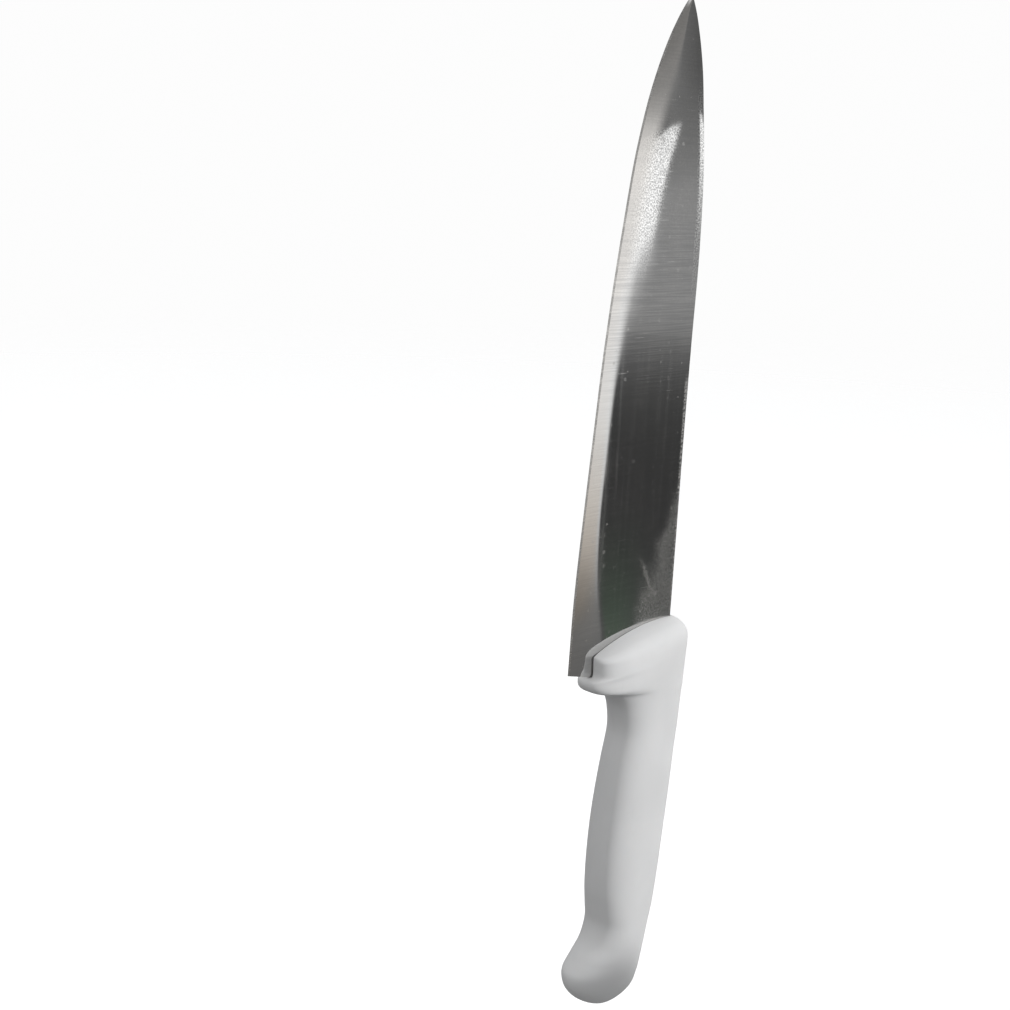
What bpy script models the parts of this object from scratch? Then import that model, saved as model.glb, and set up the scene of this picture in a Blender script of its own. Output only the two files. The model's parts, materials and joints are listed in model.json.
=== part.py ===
"""Chef's knife with a stamped stainless blade and a moulded grip.

The knife hangs upright, tip up, with its back flank flat on a magnetic holder.
The world origin is the contact point on that flank: +Z towards the tip, -X towards
the cutting edge, +Y into the holder. Every sub-part is drawn in the knife's own datum
(millimetres): x = 0 on the spine line where it meets the grip, y = 0 on the blade's
mid-plane, z = 0 at the corner of the heel.
"""

import math

import bmesh
import bpy
import numpy as np

MM = 0.001

# ---------------------------------------------------------------- driving dimensions, mm
SPINE_HALF = 1.25  # half of the 2.5 mm stock, at the spine beside the grip
FLANK_SIDE = 0.0150  # how fast the half thickness falls from the spine to the edge
FLANK_END = 0.0027  # how fast it falls from the heel to the tip
GRIND_HALF = 0.16  # half thickness at the shoulder of the sharpened edge
BEVEL = 1.1  # width of the sharpened edge
EDGE_HALF = 0.02  # half of the flat left along the cutting edge

GAP = 0.3  # clearance between pieces that are moulded onto each other
HEEL_RELIEF, HEEL_RELIEF_TOP = 0.7, 6.2  # flare of the slot beside the heel, and where it runs out

MAGNET_X, MAGNET_Z = -16.0, 148.0  # the point that lies on the holder, in the knife's datum

# cutting edge and spine, from the heel to the point: (x, z)
EDGE_LINE = [
    (-60.2, 0.0), (-59.1, 30.0), (-56.5, 61.0), (-53.6, 91.0), (-50.2, 124.0),
    (-44.0, 167.0), (-38.0, 198.5), (-32.8, 216.0), (-27.8, 228.0), (-23.4, 236.5),
    (-18.2, 244.5), (-12.6, 251.5),
]
SPINE_LINE = [
    (0.0, -4.0), (0.3, 15.0), (0.6, 50.0), (0.9, 85.0), (1.6, 123.0), (2.6, 163.0),
    (1.6, 190.0), (-1.0, 211.5), (-3.3, 226.0), (-6.6, 238.0), (-9.4, 245.5), (-12.2, 250.9),
]
# width of the primary grind, measured from the edge: (width, z)
GRIND_WIDTH = [(11.5, 0.0), (10.5, 60.0), (9.0, 125.0), (8.0, 180.0), (6.5, 215.0), (4.0, 238.0), (0.8, 251.0)]
HEEL_SLOPE = -0.252  # the heel runs down towards the grip by this much per mm
STATIONS = 56  # cross-sections along the blade

# hidden tang, below the heel: (edge side x, z, spine side x, z)
TANG = [
    (-46.7, -3.4, 0.0, -4.0), (-40.0, -5.1, 0.0, -5.6), (-33.0, -9.0, -1.5, -9.0),
    (-28.5, -14.0, -4.0, -14.0), (-26.0, -20.0, -6.0, -20.0), (-25.5, -30.0, -7.0, -30.0),
    (-26.0, -60.0, -8.0, -60.0), (-27.0, -90.0, -10.0, -90.0), (-26.6, -99.0, -11.4, -99.0),
    (-24.4, -103.8, -14.2, -103.8), (-21.0, -105.5, -18.0, -105.5),
]
TANG_HOLES = [(-16.2, -36.0), (-17.2, -62.0), (-18.4, -88.0)]
TANG_HOLE_R = 3.5

# outside of the grip, from the nose round the blade to the butt: edge side (x, z),
# spine side (x, z), half thickness, squareness of the section on each of those sides
GRIP = [
    (-46.4, 4.9, 0.9, 12.8, 1.0, 3.2, 3.0),
    (-46.5, 4.6, 2.9, 12.0, 4.4, 3.2, 3.0),
    (-46.6, 4.0, 5.0, 10.6, 7.6, 3.1, 3.0),
    (-46.6, 2.8, 7.2, 8.2, 9.8, 3.1, 3.0),
    (-46.5, 0.6, 8.1, 5.2, 10.7, 3.0, 3.0),
    (-46.7, -2.8, 8.1, 1.9, 11.1, 2.9, 2.9),
    (-49.9, -4.7, 8.2, -1.5, 11.2, 2.6, 2.8),
    (-49.6, -7.5, 8.2, -5.0, 11.2, 2.4, 2.7),
    (-46.8, -9.6, 8.1, -8.5, 11.1, 2.3, 2.6),
    (-41.6, -11.1, 7.9, -12.0, 11.0, 2.2, 2.5),
    (-36.4, -12.6, 7.5, -15.5, 10.9, 2.2, 2.5),
    (-32.8, -16.0, 7.0, -19.2, 10.8, 2.3, 2.4),
    (-30.2, -21.5, 6.3, -24.0, 10.8, 2.4, 2.4),
    (-28.9, -31.0, 5.3, -32.0, 10.9, 2.4, 2.4),
    (-31.5, -44.0, 3.8, -44.0, 11.2, 2.4, 2.4),
    (-33.8, -58.0, 2.2, -58.0, 11.4, 2.5, 2.5),
    (-35.6, -72.0, 0.7, -72.0, 11.5, 2.5, 2.5),
    (-36.5, -86.0, -0.7, -86.0, 11.4, 2.5, 2.5),
    (-36.4, -98.0, -2.2, -99.0, 11.3, 2.5, 2.5),
    (-35.2, -107.0, -4.2, -110.0, 11.3, 2.5, 2.5),
    (-34.4, -114.8, -6.7, -119.0, 11.4, 2.4, 2.4),
    (-37.2, -122.4, -8.6, -127.0, 11.4, 2.4, 2.5),
    (-43.4, -127.0, -9.6, -134.0, 11.2, 2.3, 2.6),
    (-49.0, -131.4, -10.2, -140.2, 10.6, 2.3, 2.6),
    (-48.8, -137.4, -12.2, -146.2, 9.4, 2.2, 2.5),
    (-44.8, -142.9, -18.0, -149.6, 7.6, 2.1, 2.3),
    (-39.4, -147.0, -25.4, -150.8, 5.0, 2.0, 2.1),
    (-33.8, -149.6, -31.4, -150.6, 0.6, 2.0, 2.0),
]
NOSE_CROWN = 2.7  # how far the nose rises above a straight line between its two ends
RINGS, RING_POINTS = 68, 36

# hard core moulded round the tang, inside the grip: (edge side x, spine side x, z, half thickness)
CORE = [
    (-25.2, 2.0, -27.0, 7.3), (-25.4, 1.8, -33.0, 7.5), (-28.2, 0.4, -45.0, 7.8),
    (-30.4, -1.2, -58.0, 8.0), (-32.2, -2.7, -72.0, 8.1), (-33.0, -4.1, -86.0, 8.0),
    (-32.9, -5.7, -98.0, 8.0), (-31.4, -7.8, -110.0, 7.9), (-31.0, -9.4, -117.0, 7.7),
]
CORE_GROOVES = [-51.0, -77.0, -101.0]  # the grip's plastic locks into these
GROOVE_HALF, GROOVE_DEPTH = 2.6, 1.2
CORE_POINTS = 32


# ---------------------------------------------------------------- geometry helpers
def along(points, z):
    """Smooth curve through (value, z) points: cubic Hermite with three-point slopes."""
    pts = sorted(points, key=lambda p: p[1])
    v = np.array([p[0] for p in pts], float)
    h = np.array([p[1] for p in pts], float)
    step = np.diff(h)
    slope = np.diff(v) / step
    m = np.empty(len(v))
    m[0], m[-1] = slope[0], slope[-1]
    m[1:-1] = (slope[:-1] * step[1:] + slope[1:] * step[:-1]) / (step[1:] + step[:-1])
    i = int(np.clip(np.searchsorted(h, z) - 1, 0, len(v) - 2))
    t = (z - h[i]) / step[i]
    a, b = (1 + 2 * t) * (1 - t) ** 2, t * (1 - t) ** 2
    c, d = t * t * (3 - 2 * t), t * t * (t - 1)
    return float(a * v[i] + b * step[i] * m[i] + c * v[i + 1] + d * step[i] * m[i + 1])


def through(table, count):
    """Catmull-Rom rows through a table of stations."""
    tab = np.array(table, float)
    last = len(tab) - 1
    t = np.linspace(0, last, count)
    i = np.clip(t.astype(int), 0, last - 1)
    f = (t - i)[:, None]
    p = np.vstack([2 * tab[0] - tab[1], tab, 2 * tab[-1] - tab[-2]])
    a, b, c, d = p[i], p[i + 1], p[i + 2], p[i + 3]
    rows = 0.5 * (2 * b + (c - a) * f + (2 * a - 5 * b + 4 * c - d) * f**2 + (3 * b - a - 3 * c + d) * f**3)
    return t, rows


def flank(x, z):
    """Half thickness of the blade at (x, z): one true plane for the whole flank."""
    return SPINE_HALF + FLANK_SIDE * x - FLANK_END * z


def squarish_oval(count, edge_side, spine_side):
    """Unit superellipse with its own squareness on the -x half and on the +x half."""
    angle = np.linspace(0, 2 * math.pi, count, endpoint=False)
    c, s = np.cos(angle), np.sin(angle)
    e = np.where(c < 0, 2.0 / edge_side, 2.0 / spine_side)
    return np.sign(c) * np.abs(c) ** e, np.sign(s) * np.abs(s) ** e


def loft_faces(rings, points):
    """Quads between closed rings, with the first and last ring closed across."""
    faces = []
    for r in range(rings - 1):
        for j in range(points):
            k = (j + 1) % points
            faces.append((r * points + j, r * points + k, (r + 1) * points + k, (r + 1) * points + j))
    for base in (0, (rings - 1) * points):
        for j in range(points // 2):
            k, low, far = j + 1, (points - j) % points, points - j - 1
            quad = [base + j, base + k, base + far, base + low]
            faces.append(tuple(dict.fromkeys(quad)))
    return faces


def ladder_faces(rungs):
    """Closed plate between a front and a back ladder of rungs: four points a rung."""
    faces = []
    for r in range(rungs - 1):
        a, b = 4 * r, 4 * (r + 1)
        faces += [
            (a, a + 1, b + 1, b),  # front
            (a + 2, b + 2, b + 3, a + 3),  # back
            (a + 1, a + 3, b + 3, b + 1),  # spine side
            (a, b, b + 2, a + 2),  # edge side
        ]
    end = 4 * (rungs - 1)
    faces += [(0, 2, 3, 1), (end, end + 1, end + 3, end + 2)]
    return faces


def material(name, colour, metallic, roughness):
    mat = bpy.data.materials.new(name)
    mat.use_nodes = True
    shader = mat.node_tree.nodes["Principled BSDF"]
    shader.inputs["Base Color"].default_value = (*colour, 1.0)
    shader.inputs["Metallic"].default_value = metallic
    shader.inputs["Roughness"].default_value = roughness
    mat.diffuse_color = (*colour, 1.0)
    return mat


def build(name, verts, faces, mat, parent, sharp=35.0):
    """One object from points in the knife's datum, placed by its location."""
    mesh = bpy.data.meshes.new(name)
    mesh.from_pydata([tuple(float(c) * MM for c in v) for v in verts], [], faces)
    work = bmesh.new()
    work.from_mesh(mesh)
    bmesh.ops.recalc_face_normals(work, faces=work.faces)
    work.to_mesh(mesh)
    work.free()
    if mat:
        mesh.materials.append(mat)
    mesh.shade_smooth()
    mesh.set_sharp_from_angle(angle=math.radians(sharp))
    obj = bpy.data.objects.new(name, mesh)
    bpy.context.scene.collection.objects.link(obj)
    obj.parent = parent
    return obj


def as_cutter(obj):
    obj.hide_render = True
    obj.display_type = "WIRE"
    return obj


def cut(obj, cutter):
    mod = obj.modifiers.new("cut_" + cutter.name, "BOOLEAN")
    mod.operation = "DIFFERENCE"
    mod.solver = "EXACT"
    mod.object = cutter


# ---------------------------------------------------------------- sub-parts
def blade_shape():
    """Plate with flat tapered flanks, a primary grind, a sharpened edge and a tang."""
    tip_z = EDGE_LINE[-1][1]
    share = np.linspace(0, 1, STATIONS) ** 0.85
    heights = list(tip_z * (0.018 + 0.97 * share))
    rows = []  # each row: grind x, z, spine x, z, bevel x, z, edge x, z
    heel_x = EDGE_LINE[0][0]

    def on_heel(x):
        return HEEL_SLOPE * (x - heel_x)

    gx = heel_x + GRIND_WIDTH[0][0]
    bx = heel_x + BEVEL
    rows.append((gx, on_heel(gx), 0.0, on_heel(gx), bx, on_heel(bx), heel_x, 0.0))
    for z in heights:
        edge = along(EDGE_LINE, z)
        grind = edge + along(GRIND_WIDTH, z)
        spine = along(SPINE_LINE, z)
        grind = min(grind, edge + 0.72 * (spine - edge))
        bevel = edge + min(BEVEL, 0.3 * (grind - edge))
        rows.append((grind, z, spine, z, bevel, z, edge, z))

    verts, faces = [], []

    def add(x, y, z):
        verts.append((x, y, z))
        return len(verts) - 1

    ids = []
    for gx, gz, sx, sz, bx, bz, ex, ez in rows:
        hg, hs = flank(gx, gz), flank(sx, sz)
        hb = min(GRIND_HALF, 0.8 * hg)
        ids.append({
            "g": (add(gx, -hg, gz), add(gx, hg, gz)),
            "s": (add(sx, -hs, sz), add(sx, hs, sz)),
            "b": (add(bx, -hb, bz), add(bx, hb, bz)),
            "e": (add(ex, -EDGE_HALF, ez), add(ex, EDGE_HALF, ez)),
        })
    tang = []
    for xl, zl, xr, zr in TANG:
        hl, hr = flank(xl, zl), flank(xr, zr)
        tang.append((add(xl, -hl, zl), add(xr, -hr, zr), add(xl, hl, zl), add(xr, hr, zr)))

    for low, high in zip(ids, ids[1:]):
        for side in (0, 1):
            for a, b in (("s", "g"), ("g", "b"), ("b", "e")):
                faces.append((low[a][side], low[b][side], high[b][side], high[a][side]))
        faces.append((low["s"][0], high["s"][0], high["s"][1], low["s"][1]))
        faces.append((low["e"][0], high["e"][0], high["e"][1], low["e"][1]))
    # the point: a small closing facet at the last section
    top = ids[-1]
    point = add(EDGE_LINE[-1][0], 0.0, tip_z)
    ring = [top["s"][0], top["g"][0], top["b"][0], top["e"][0], top["e"][1], top["b"][1], top["g"][1], top["s"][1]]
    for a, b in zip(ring, ring[1:] + ring[:1]):
        faces.append((a, b, point))
    # heel: the lowest blade section joins the tang, and the heel's underside closes it
    low, first = ids[0], tang[0]
    faces.append((low["g"][0], low["s"][0], first[1], first[0]))
    faces.append((low["g"][1], low["s"][1], first[3], first[2]))
    faces.append((low["s"][0], low["s"][1], first[3], first[1]))
    faces.append((low["g"][0], low["g"][1], first[2], first[0]))
    faces.append((low["e"][0], low["b"][0], low["g"][0], low["g"][1], low["b"][1], low["e"][1]))
    for a, b in zip(tang, tang[1:]):
        faces += [(a[0], a[1], b[1], b[0]), (a[2], a[3], b[3], b[2]), (a[1], a[3], b[3], b[1]), (a[0], a[2], b[2], b[0])]
    end = tang[-1]
    faces.append((end[0], end[1], end[3], end[2]))
    return verts, faces


def slot_shape():
    """The room that the blade and its tang take inside the grip and the core."""
    heel_x = EDGE_LINE[0][0]
    rungs = [(-72.0, 34.0, GAP + 0.5, 34.0), (-72.0, HEEL_SLOPE * (-72.0 - heel_x) - GAP, GAP + 0.2, 1.0)]
    edge_side = np.array([(r[0], r[1]) for r in TANG])
    spine_side = np.array([(r[2], r[3]) for r in TANG])

    def outward(line, sign):
        run = np.gradient(line, axis=0)
        side = np.column_stack([run[:, 1], -run[:, 0]]) * sign
        return line + GAP * 1.06 * side / np.linalg.norm(side, axis=1)[:, None]

    left, right = outward(edge_side, 1.0), outward(spine_side, -1.0)
    left[-1] += (0.0, -GAP)
    right[-1] += (0.0, -GAP)
    for a, b in zip(left, right):
        rungs.append((a[0], a[1], b[0], b[1]))
    verts = []
    for xl, zl, xr, zr in rungs:
        hl, hr = flank(xl, zl) + GAP, flank(xr, zr) + GAP
        verts += [(xl, -hl, zl), (xr, -hr, zr), (xl, hl, zl), (xr, hr, zr)]
    return verts, ladder_faces(len(rungs))


def heel_relief_shape():
    """Flared mouth of the slot beside the heel, so that the corner can be wiped clean."""
    verts = []
    for z_top, share in ((-0.15, 1.0), (None, 0.45)):
        for x, half in ((-56.0, HEEL_RELIEF + 0.7), (-42.8, 0.10)):
            z = HEEL_SLOPE * (x - EDGE_LINE[0][0]) + z_top if z_top else HEEL_RELIEF_TOP
            for side in (-1, 1):
                verts.append((x, side * (flank(x, z) + half * (share if half > 0.2 else 1.0)), z))
    faces = [(0, 1, 3, 2), (4, 6, 7, 5), (0, 2, 6, 4), (1, 5, 7, 3), (0, 4, 5, 1), (2, 3, 7, 6)]
    return verts, faces


def pins_shape(radius, half_length, sides=28):
    """Cylinders through the tang's holes, along y, as one set of cutters."""
    verts, faces = [], []
    for cx, cz in TANG_HOLES:
        base = len(verts)
        for y in (-half_length, half_length):
            for j in range(sides):
                a = 2 * math.pi * j / sides
                verts.append((cx + radius * math.cos(a), y, cz + radius * math.sin(a)))
        for j in range(sides):
            k = (j + 1) % sides
            faces.append((base + j, base + k, base + sides + k, base + sides + j))
        faces.append(tuple(base + j for j in range(sides)))
        faces.append(tuple(base + sides + j for j in reversed(range(sides))))
    return verts, faces


def grip_shape():
    """Loft of squarish ovals that fan out round the nose, the guard and the butt."""
    t, rows = through(GRIP, RINGS)
    verts = []
    for at, (xl, zl, xr, zr, half, sq_edge, sq_spine) in zip(t, rows):
        ex, ey = squarish_oval(RING_POINTS, sq_edge, sq_spine)
        mid = np.array([(xl + xr) / 2, (zl + zr) / 2])
        arm = np.array([(xr - xl) / 2, (zr - zl) / 2])
        up = np.array([-arm[1], arm[0]]) / np.linalg.norm(arm)
        crown = NOSE_CROWN * max(0.0, 1 - at / 6.0) * (1 - ex**2)
        xz = mid + ex[:, None] * arm + crown[:, None] * up
        verts += [(x, half * y, z) for (x, z), y in zip(xz, ey)]
    return verts, loft_faces(RINGS, RING_POINTS)


def core_shape(grow):
    """Lofted core with locking grooves; grow makes the pocket that holds it."""
    levels = [(CORE[0][2] + grow, 2.2), (CORE[0][2] - 1.8 + grow, 0.0)]
    for zc in CORE_GROOVES:
        half = GROOVE_HALF - 1.15 * grow
        levels += [(zc + half, 0.0), (zc + half - 0.6, GROOVE_DEPTH), (zc - half + 0.6, GROOVE_DEPTH), (zc - half, 0.0)]
    tops = [r[2] for r in CORE[1:-1]]
    levels += [(z, 0.0) for z in tops if all(abs(z - zc) > GROOVE_HALF + 1.5 for zc in CORE_GROOVES)]
    levels += [(CORE[-1][2], 0.0), (CORE[-1][2] - 2.2 - grow, 2.4)]
    levels.sort(reverse=True)
    left = [(r[0], r[2]) for r in CORE]
    right = [(r[1], r[2]) for r in CORE]
    thick = [(r[3], r[2]) for r in CORE]
    ex, ey = squarish_oval(CORE_POINTS, 2.4, 2.4)
    verts = []
    for z, inset in levels:
        zz = min(max(z, CORE[-1][2]), CORE[0][2])
        xl = along(left, zz) + inset - grow
        xr = along(right, zz) - inset + grow
        half = along(thick, zz) - inset + grow
        verts += [((xl + xr) / 2 + x * (xr - xl) / 2, half * y, z) for x, y in zip(ex, ey)]
    return verts, loft_faces(len(levels), CORE_POINTS)


def main():
    for obj in list(bpy.data.objects):
        bpy.data.objects.remove(obj, do_unlink=True)

    knife = bpy.data.objects.new("knife", None)
    knife.empty_display_size = 0.03
    knife.location = (-MAGNET_X * MM, -flank(MAGNET_X, MAGNET_Z) * MM, -MAGNET_Z * MM)
    bpy.context.scene.collection.objects.link(knife)

    steel = material("blade_steel", (0.60, 0.60, 0.59), 1.0, 0.30)
    white = material("grip_plastic", (0.80, 0.80, 0.80), 0.0, 0.42)
    inner = material("core_plastic", (0.70, 0.70, 0.68), 0.0, 0.50)

    holes = as_cutter(build("cut_tang_holes", *pins_shape(TANG_HOLE_R, 8.0), None, knife))
    pegs = as_cutter(build("cut_pegs", *pins_shape(TANG_HOLE_R - GAP, 8.0), None, knife))
    slot = as_cutter(build("cut_slot", *slot_shape(), None, knife))
    cut(slot, pegs)
    pocket = as_cutter(build("cut_pocket", *core_shape(GAP), None, knife))
    relief = as_cutter(build("cut_heel_relief", *heel_relief_shape(), None, knife))

    blade = build("blade", *blade_shape(), steel, knife, sharp=1.5)
    cut(blade, holes)
    core = build("handle_core", *core_shape(0.0), inner, knife)
    cut(core, slot)
    grip = build("handle_grip", *grip_shape(), white, knife, sharp=50.0)
    cut(grip, pocket)
    cut(grip, slot)
    cut(grip, relief)


main()
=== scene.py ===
import json
import math

import bmesh
import bpy
import numpy as np
from mathutils import Matrix, Vector

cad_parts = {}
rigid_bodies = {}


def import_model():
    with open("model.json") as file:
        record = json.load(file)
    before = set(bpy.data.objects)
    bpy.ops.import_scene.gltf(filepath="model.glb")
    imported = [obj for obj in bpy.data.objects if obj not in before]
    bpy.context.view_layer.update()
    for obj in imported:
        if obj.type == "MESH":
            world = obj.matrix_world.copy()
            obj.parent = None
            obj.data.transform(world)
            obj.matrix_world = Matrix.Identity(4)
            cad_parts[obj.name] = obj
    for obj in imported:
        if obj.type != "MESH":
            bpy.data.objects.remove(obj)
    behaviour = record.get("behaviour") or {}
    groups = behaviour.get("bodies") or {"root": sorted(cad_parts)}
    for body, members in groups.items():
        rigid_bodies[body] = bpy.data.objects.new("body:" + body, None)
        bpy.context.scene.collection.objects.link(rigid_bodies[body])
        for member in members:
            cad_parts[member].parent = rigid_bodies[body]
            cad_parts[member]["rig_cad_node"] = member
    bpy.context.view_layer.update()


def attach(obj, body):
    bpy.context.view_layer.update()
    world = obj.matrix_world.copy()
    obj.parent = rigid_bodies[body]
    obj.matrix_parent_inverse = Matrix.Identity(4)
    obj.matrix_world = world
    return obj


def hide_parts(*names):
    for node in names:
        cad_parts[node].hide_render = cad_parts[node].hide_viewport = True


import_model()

MM = 0.001

# ---------------------------------------------------------------------------------------
# Driving dimensions, in the knife's own datum (mm): x = 0 on the spine line at the grip,
# y = 0 on the blade's mid-plane, z = 0 at the corner of the heel. The same as the CAD,
# with a gentler rounding where the grip's cheek runs into the guard.
# ---------------------------------------------------------------------------------------
MAGNET_X, MAGNET_Z = -16.0, 148.0
SPINE_HALF, FLANK_SIDE, FLANK_END = 1.25, 0.0150, 0.0027
GRIND_HALF, BEVEL, EDGE_HALF = 0.11, 1.1, 0.015
GAP = 0.3
SLOT_GAP = 0.14  # what shows between the blade and the cheeks of the grip
HEEL_RELIEF, HEEL_RELIEF_TOP = 0.7, 6.2  # flare of the slot beside the heel, and where it runs out

EDGE_LINE = [
    (-60.2, 0.0), (-59.1, 30.0), (-56.5, 61.0), (-53.6, 91.0), (-50.2, 124.0),
    (-44.0, 167.0), (-38.0, 198.5), (-32.8, 216.0), (-27.8, 228.0), (-23.4, 236.5),
    (-18.2, 244.5), (-12.6, 251.5),
]
SPINE_LINE = [
    (0.0, -4.0), (0.3, 15.0), (0.6, 50.0), (0.9, 85.0), (1.6, 123.0), (2.6, 163.0),
    (1.6, 190.0), (-1.0, 211.5), (-3.3, 226.0), (-6.6, 238.0), (-9.4, 245.5), (-12.2, 250.9),
]
# width of the primary grind, measured from the edge: it sweeps wider towards the heel
GRIND_WIDTH = [(21.0, -2.0), (18.4, 14.0), (13.8, 29.0), (9.3, 57.0), (8.5, 83.0), (8.0, 126.0), (9.0, 180.0),
               (9.5, 205.0), (8.0, 226.0), (5.0, 240.0), (0.8, 251.0)]
HEEL_SLOPE = -0.252
HEEL_END_X = -46.7  # where the heel's underside meets the tang
STATIONS = 300
SPINE_ROUND = 0.28  # radius of the broken corners along the spine
GRIND_SOFT = 0.030  # how gently the primary grind runs out into the flank
RELIEF_WIDTH, RELIEF_DEPTH = 3.9, 0.085  # polished relief along the forward part of the spine

TANG = [
    (-46.7, -3.4, 0.0, -4.0), (-40.0, -5.1, 0.0, -5.6), (-33.0, -9.0, -1.5, -9.0),
    (-28.5, -14.0, -4.0, -14.0), (-26.0, -20.0, -6.0, -20.0), (-25.5, -30.0, -7.0, -30.0),
    (-26.0, -60.0, -8.0, -60.0), (-27.0, -90.0, -10.0, -90.0), (-26.6, -99.0, -11.4, -99.0),
    (-24.4, -103.8, -14.2, -103.8), (-21.0, -105.5, -18.0, -105.5),
]
TANG_HOLES = [(-16.2, -36.0), (-17.2, -62.0), (-18.4, -88.0)]
TANG_HOLE_R = 3.5

GRIP = [
    (-46.4, 4.9, 0.9, 12.8, 1.0, 3.2, 3.0),
    (-46.5, 4.6, 2.9, 12.0, 4.4, 3.2, 3.0),
    (-46.6, 4.0, 5.0, 10.6, 7.6, 3.1, 3.0),
    (-46.6, 2.8, 7.2, 8.2, 9.8, 3.1, 3.0),
    (-46.5, 0.6, 8.1, 5.2, 10.7, 3.0, 3.0),
    (-46.7, -2.8, 8.1, 1.9, 11.1, 3.1, 2.9),
    (-49.9, -4.7, 8.2, -1.5, 11.2, 2.4, 2.8),
    (-49.6, -7.5, 8.2, -5.0, 11.2, 2.5, 2.7),
    (-46.8, -9.6, 8.1, -8.5, 11.1, 2.75, 2.6),
    (-41.6, -11.1, 7.9, -12.0, 11.0, 2.5, 2.5),
    (-36.4, -12.6, 7.5, -15.5, 10.9, 2.2, 2.5),
    (-32.8, -16.0, 7.0, -19.2, 10.8, 2.3, 2.4),
    (-30.2, -21.5, 6.3, -24.0, 10.8, 2.4, 2.4),
    (-28.9, -31.0, 5.3, -32.0, 10.9, 2.4, 2.4),
    (-31.5, -44.0, 3.8, -44.0, 11.2, 2.4, 2.4),
    (-33.8, -58.0, 2.2, -58.0, 11.4, 2.5, 2.5),
    (-35.6, -72.0, 0.7, -72.0, 11.5, 2.5, 2.5),
    (-36.5, -86.0, -0.7, -86.0, 11.4, 2.5, 2.5),
    (-36.4, -98.0, -2.2, -99.0, 11.3, 2.5, 2.5),
    (-35.2, -107.0, -4.2, -110.0, 11.3, 2.5, 2.5),
    (-34.4, -114.8, -6.7, -119.0, 11.4, 2.4, 2.4),
    (-37.2, -122.4, -8.6, -127.0, 11.4, 2.4, 2.5),
    (-43.4, -127.0, -9.6, -134.0, 11.2, 2.3, 2.6),
    (-49.0, -131.4, -10.2, -140.2, 10.6, 2.3, 2.6),
    (-48.8, -137.4, -12.2, -146.2, 9.4, 2.2, 2.5),
    (-44.8, -142.9, -18.0, -149.6, 7.6, 2.1, 2.3),
    (-39.4, -147.0, -25.4, -150.8, 5.0, 2.0, 2.1),
    (-33.8, -149.6, -31.4, -150.6, 0.6, 2.0, 2.0),
]
NOSE_CROWN = 2.7
RINGS, RING_POINTS = 280, 144

CORE = [
    (-25.2, 2.0, -27.0, 7.3), (-25.4, 1.8, -33.0, 7.5), (-28.2, 0.4, -45.0, 7.8),
    (-30.4, -1.2, -58.0, 8.0), (-32.2, -2.7, -72.0, 8.1), (-33.0, -4.1, -86.0, 8.0),
    (-32.9, -5.7, -98.0, 8.0), (-31.4, -7.8, -110.0, 7.9), (-31.0, -9.4, -117.0, 7.7),
]
CORE_GROOVES = [-51.0, -77.0, -101.0]  # the grip's plastic locks into these
GROOVE_HALF, GROOVE_DEPTH = 2.6, 1.2
CORE_POINTS = 32

OFFSET = Vector((-MAGNET_X, -(SPINE_HALF + FLANK_SIDE * MAGNET_X - FLANK_END * MAGNET_Z), -MAGNET_Z))


# ---------------------------------------------------------------------------------------
# Curves and lofts
# ---------------------------------------------------------------------------------------
def along(points, z):
    """Smooth curve through (value, z) points: cubic Hermite with three-point slopes."""
    pts = sorted(points, key=lambda p: p[1])
    v = np.array([p[0] for p in pts], float)
    h = np.array([p[1] for p in pts], float)
    step = np.diff(h)
    slope = np.diff(v) / step
    m = np.empty(len(v))
    m[0], m[-1] = slope[0], slope[-1]
    m[1:-1] = (slope[:-1] * step[1:] + slope[1:] * step[:-1]) / (step[1:] + step[:-1])
    i = int(np.clip(np.searchsorted(h, z) - 1, 0, len(v) - 2))
    t = (z - h[i]) / step[i]
    a, b = (1 + 2 * t) * (1 - t) ** 2, t * (1 - t) ** 2
    c, d = t * t * (3 - 2 * t), t * t * (t - 1)
    return float(a * v[i] + b * step[i] * m[i] + c * v[i + 1] + d * step[i] * m[i + 1])


def through(table, count):
    """Catmull-Rom rows through a table of stations."""
    tab = np.array(table, float)
    last = len(tab) - 1
    t = np.linspace(0, last, count)
    i = np.clip(t.astype(int), 0, last - 1)
    f = (t - i)[:, None]
    p = np.vstack([2 * tab[0] - tab[1], tab, 2 * tab[-1] - tab[-2]])
    a, b, c, d = p[i], p[i + 1], p[i + 2], p[i + 3]
    rows = 0.5 * (2 * b + (c - a) * f + (2 * a - 5 * b + 4 * c - d) * f**2 + (3 * b - a - 3 * c + d) * f**3)
    return t, rows


def flank(x, z):
    return SPINE_HALF + FLANK_SIDE * x - FLANK_END * z


def soft_min(a, b, k):
    h = np.clip(0.5 + 0.5 * (b - a) / k, 0, 1)
    return b + (a - b) * h - k * h * (1 - h)


def ease(v, low, high):
    t = np.clip((v - low) / (high - low), 0, 1)
    return t * t * (3 - 2 * t)


def squarish_oval(count, edge_side, spine_side):
    angle = np.linspace(0, 2 * math.pi, count, endpoint=False)
    c, s = np.cos(angle), np.sin(angle)
    e = np.where(c < 0, 2.0 / edge_side, 2.0 / spine_side)
    return np.sign(c) * np.abs(c) ** e, np.sign(s) * np.abs(s) ** e


def loft_faces(rings, points):
    faces = []
    for r in range(rings - 1):
        for j in range(points):
            k = (j + 1) % points
            faces.append((r * points + j, r * points + k, (r + 1) * points + k, (r + 1) * points + j))
    for base in (0, (rings - 1) * points):
        for j in range(points // 2):
            k, low, far = j + 1, (points - j) % points, points - j - 1
            faces.append(tuple(dict.fromkeys([base + j, base + k, base + far, base + low])))
    return faces


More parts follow.
